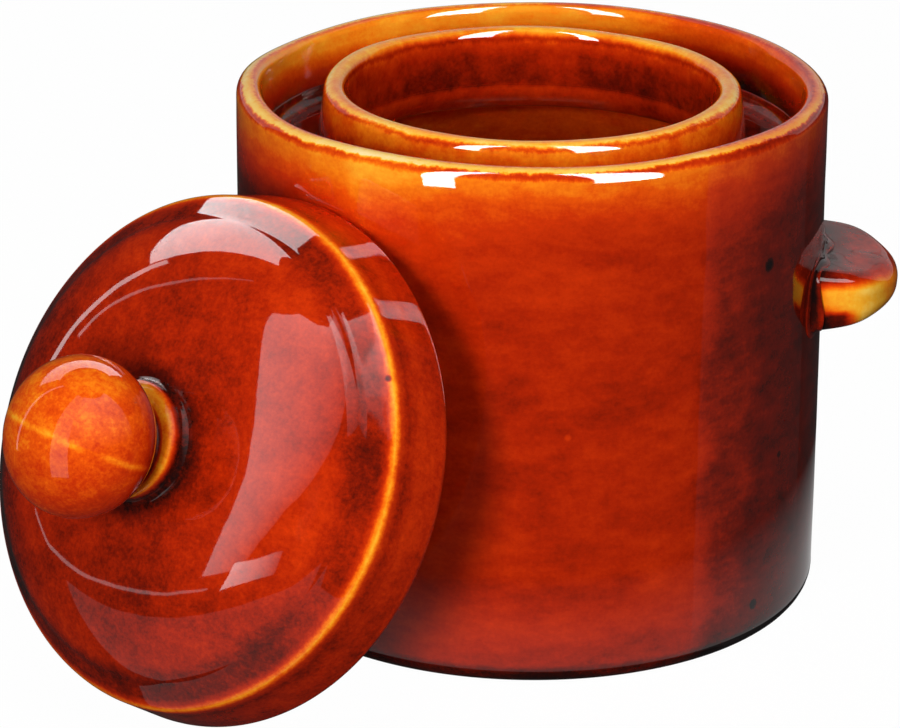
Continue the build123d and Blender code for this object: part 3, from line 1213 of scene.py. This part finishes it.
softbox("left_softbox", -109, 14, 1.7, 0.30, 0.6, 35)
softbox("top_softbox", -90, 65, 1.7, 0.60, 0.6, 9)
softbox("right_softbox", -50, 35, 1.7, 0.60, 1.0, 4.0)
softbox("back_softbox", 125, 45, 1.7, 1.0, 1.0, 1.2)

# %% [markdown]
# ## What the glaze mirrors
#
# A glossy glaze is drawn by its reflections. They come from glowing cards, which only mirror rays see and
# pass through. A card is a part of an upright cylinder round the jar, so it is given by two bearings and
# two elevations, or it lies between two edges of several such pairs. Its glow may fade from one side to
# the other. A lid that leans close to a lamp mirrors it elsewhere than the rim does, so each card also
# says which pieces it shows in. A ring on the table glows at the crock's foot, as the pale table does.

# %% Glowing cards
card_distance = 3.0
card_columns, card_rows = 33, 33


def card_material(name, radiance):
    """A clear shader plus a glow, which is the card's radiance times its own glow attribute."""
    material, tree, shader = new_material(name)
    strength = maths(tree, "MULTIPLY", stored(tree, "glow"), radiance)
    glow = node(tree, "ShaderNodeEmission", inputs={"Color": grey(1.0), "Strength": strength}).outputs[0]
    clear = node(tree, "ShaderNodeBsdfTransparent").outputs[0]
    both = node(tree, "ShaderNodeAddShader", inputs={0: clear, 1: glow}).outputs[0]
    tree.links.new(both, tree.nodes["Material Output"].inputs["Surface"])
    tree.nodes.remove(shader)
    material.cycles.emission_sampling = "NONE"
    return material


def glowing_piece(name, shown_in, points, glow, radiance):
    """A glowing sheet from a grid of points, which only mirror rays from some pieces see."""
    squares = grid_faces(*points.shape[:2], wrap_columns=False)
    piece = mesh_object(name, points.reshape(-1, 3), squares, values={"glow": glow.ravel()})
    piece.data.materials.append(card_material(name, radiance))
    piece.visible_camera = False
    piece.visible_diffuse = False
    piece.visible_transmission = False
    piece.visible_shadow = False
    piece.light_linking.receiver_collection = shown_in


def curved_card(name, shown_in, first_edge, last_edge, radiance, across=(1, 1), along=(1, 1)):
    """A card between two edges, each a list of (bearing b, elevation e).

    Such a pair gives the point (d cos b, d sin b, d tan e). The glow is the product of `across`, which
    runs from the first edge to the last, and `along`, which runs from each edge's start to its end.
    """
    share = np.linspace(0, 1, card_columns)[None, :, None]
    edges = []
    for edge in (first_edge, last_edge):
        place = np.linspace(0, len(edge) - 1, card_rows)
        angles = [np.interp(place, np.arange(len(edge)), column) for column in np.array(edge, float).T]
        edges.append(np.stack(angles, -1)[:, None])
    bearing, rise = np.moveaxis(np.radians(edges[0] * (1 - share) + edges[1] * share), -1, 0)
    points = card_distance * np.stack([np.cos(bearing), np.sin(bearing), np.tan(rise)], -1)
    points[..., 2] += jar_middle.z
    glow = np.linspace(*along, card_rows)[:, None] * np.linspace(*across, card_columns)
    glowing_piece(name, shown_in, points, glow, radiance)


def card(name, shown_in, bearings, elevations, radiance, fade=(1, 1), rise_fade=(1, 1)):
    """A card between two bearings and two elevations, which may fade from one to the other."""
    edges = [[(bearing, elevation) for elevation in elevations] for bearing in bearings]
    curved_card(name, shown_in, *edges, radiance, across=fade, along=rise_fade)


def receivers(name, pieces):
    """A collection outside the scene that only says which pieces a card shows in."""
    group = bpy.data.collections.new(name)
    for piece in pieces:
        group.objects.link(piece)
    return group


in_crock = receivers("in_crock", (crock, neck))
in_lugs = receivers("in_lugs", (lug_right, lug_left, fillet_right, fillet_left))
in_lid = receivers("in_lid", (lid,))
in_knob = receivers("in_knob", (knob,))

card("left_strip", in_crock, (-130, -117), (-15, 76), 26)
card("right_strip", in_crock, (-67, -42), (-10, 76), 26)
card("right_wall", in_crock, (-21, 45), (-50, -3), 0.08, fade=(1.0, 0.2))
card("back_wall", in_crock, (30, 150), (2, 60), 0.7)

angle = np.linspace(0, 2 * np.pi, 97)[None]
radius = np.linspace(crock_radius + 3 * mm, crock_radius + 85 * mm, 12)[:, None]
ring = np.stack(np.broadcast_arrays(radius * np.cos(angle), radius * np.sin(angle), 0.3 * mm), -1)
fading = np.broadcast_to(np.linspace(1, 0, 12)[:, None], ring.shape[:2])
glowing_piece("foot_glow", in_crock, ring, fading, 0.5)

card("lug_back", in_lugs, (30, 150), (2, 50), 0.45)
card("lug_above", in_lugs, (-120, -20), (50, 68), 5.0)

curved_card(
    "lid_side", in_lid,
    [(-150, 1.5), (-151, 7), (-151, 14), (-151, 19), (-153, 26), (-154, 30), (-155, 35), (-156.5, 42),
     (-158, 48), (-158, 53), (-143, 66), (-64, 78)],
    [(-138, 1.5), (-134, 7), (-126, 14), (-116, 19), (-106, 26), (-101, 30), (-95, 35), (-87, 42),
     (-77, 50), (-65, 56), (-35, 67), (0, 78)],
    3.0, across=(1, 0.15),
)
card("lid_above", in_lid, (-80, -45), (35, 80), 3.0, rise_fade=(0.1, 1))
card("lid_low", in_lid, (-141, -118), (-3.5, 3.5), 6.0, fade=(1, 0.1))
card("lid_back", in_lid, (105, 157), (30, 70), 6.0)
card("lid_edge_line", in_lid, (158, 161), (4, 34), 4.0)
curved_card(
    "lid_arc", in_lid,
    [(164.8, 14.5), (165.2, 18.5), (167.6, 23.6), (171.8, 30.5), (176.6, 42.8), (181.6, 55)],
    [(166.2, 14.5), (166.6, 18.5), (169.2, 23.6), (173.0, 30.0), (177.6, 42.8), (182.4, 55)],
    2.4, along=(1, 0.3),
)
curved_card(
    "lid_low_arc", in_lid,
    [(170, -4.3), (175, -6.7), (182, -6.0), (187, -5.5), (194, -3.7), (200, -3.0), (208, -2.5), (214, -2.0)],
    [(170, -5.4), (175, -7.8), (182, -7.1), (187, -6.6), (194, -4.7), (200, -3.9), (208, -3.3), (214, -2.8)],
    1.6,
)
card("lid_table", in_lid, (-180, -80), (-60, -12), 0.3)

card("knob_side", in_knob, (-142, -119), (-27, 70), 1.3, rise_fade=(0.8, 0.6))
card("knob_above", in_knob, (-119, -15), (6, 72), 1.3, rise_fade=(0.0, 1.0))
card("knob_back", in_knob, (62, 152), (30, 52), 4.0, fade=(1.0, 0.5))
card("knob_line", in_knob, (168, 171), (-12, 58), 1.6)
